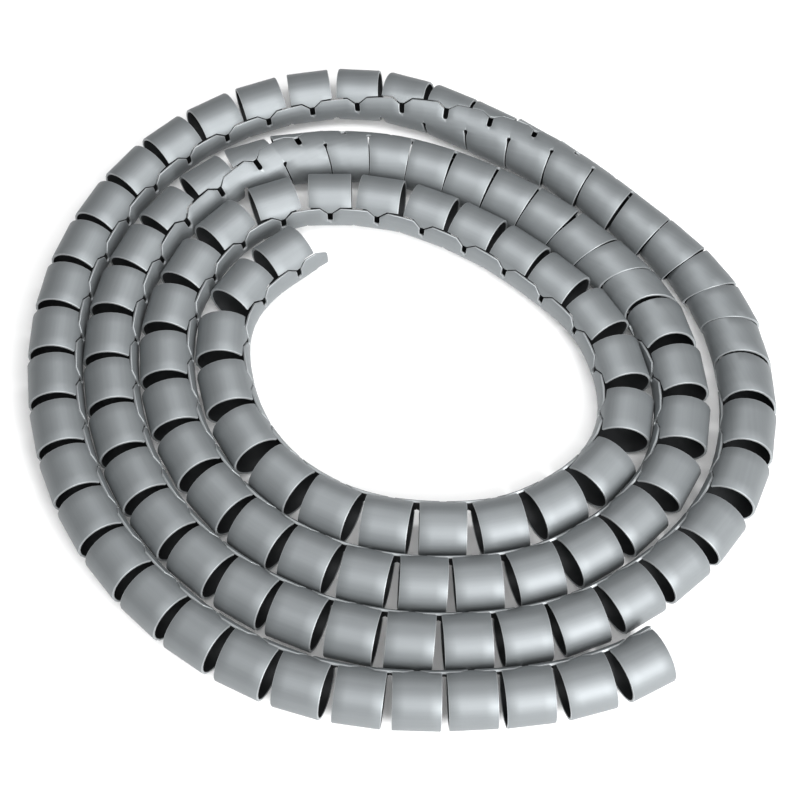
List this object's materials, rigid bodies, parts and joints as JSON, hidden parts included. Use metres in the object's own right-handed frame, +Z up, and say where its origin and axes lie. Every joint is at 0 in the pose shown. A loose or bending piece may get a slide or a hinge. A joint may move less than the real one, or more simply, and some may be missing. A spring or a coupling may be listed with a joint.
{
  "type": "spiral cable wrap",
  "caption": "Slit plastic tube of C-shaped bands on a narrow spine with a zigzag closing seam, lying in a flat loose coil, for bundling cables.",
  "frame": {"origin": "on the floor, below the middle of the coil's bounding box", "axes": "+Z up, across the flat coil; +X to the right and +Y away from the viewer of the reference picture"},
  "size_m": [0.274, 0.2736, 0.02],
  "materials": {
    "grey_plastic": "silver-grey pigmented polypropylene, satin, with faint drawn streaks along the tube"
  },
  "bodies": {
    "root": {"cable_wrap": "grey_plastic"}
  },
  "joints": []
}
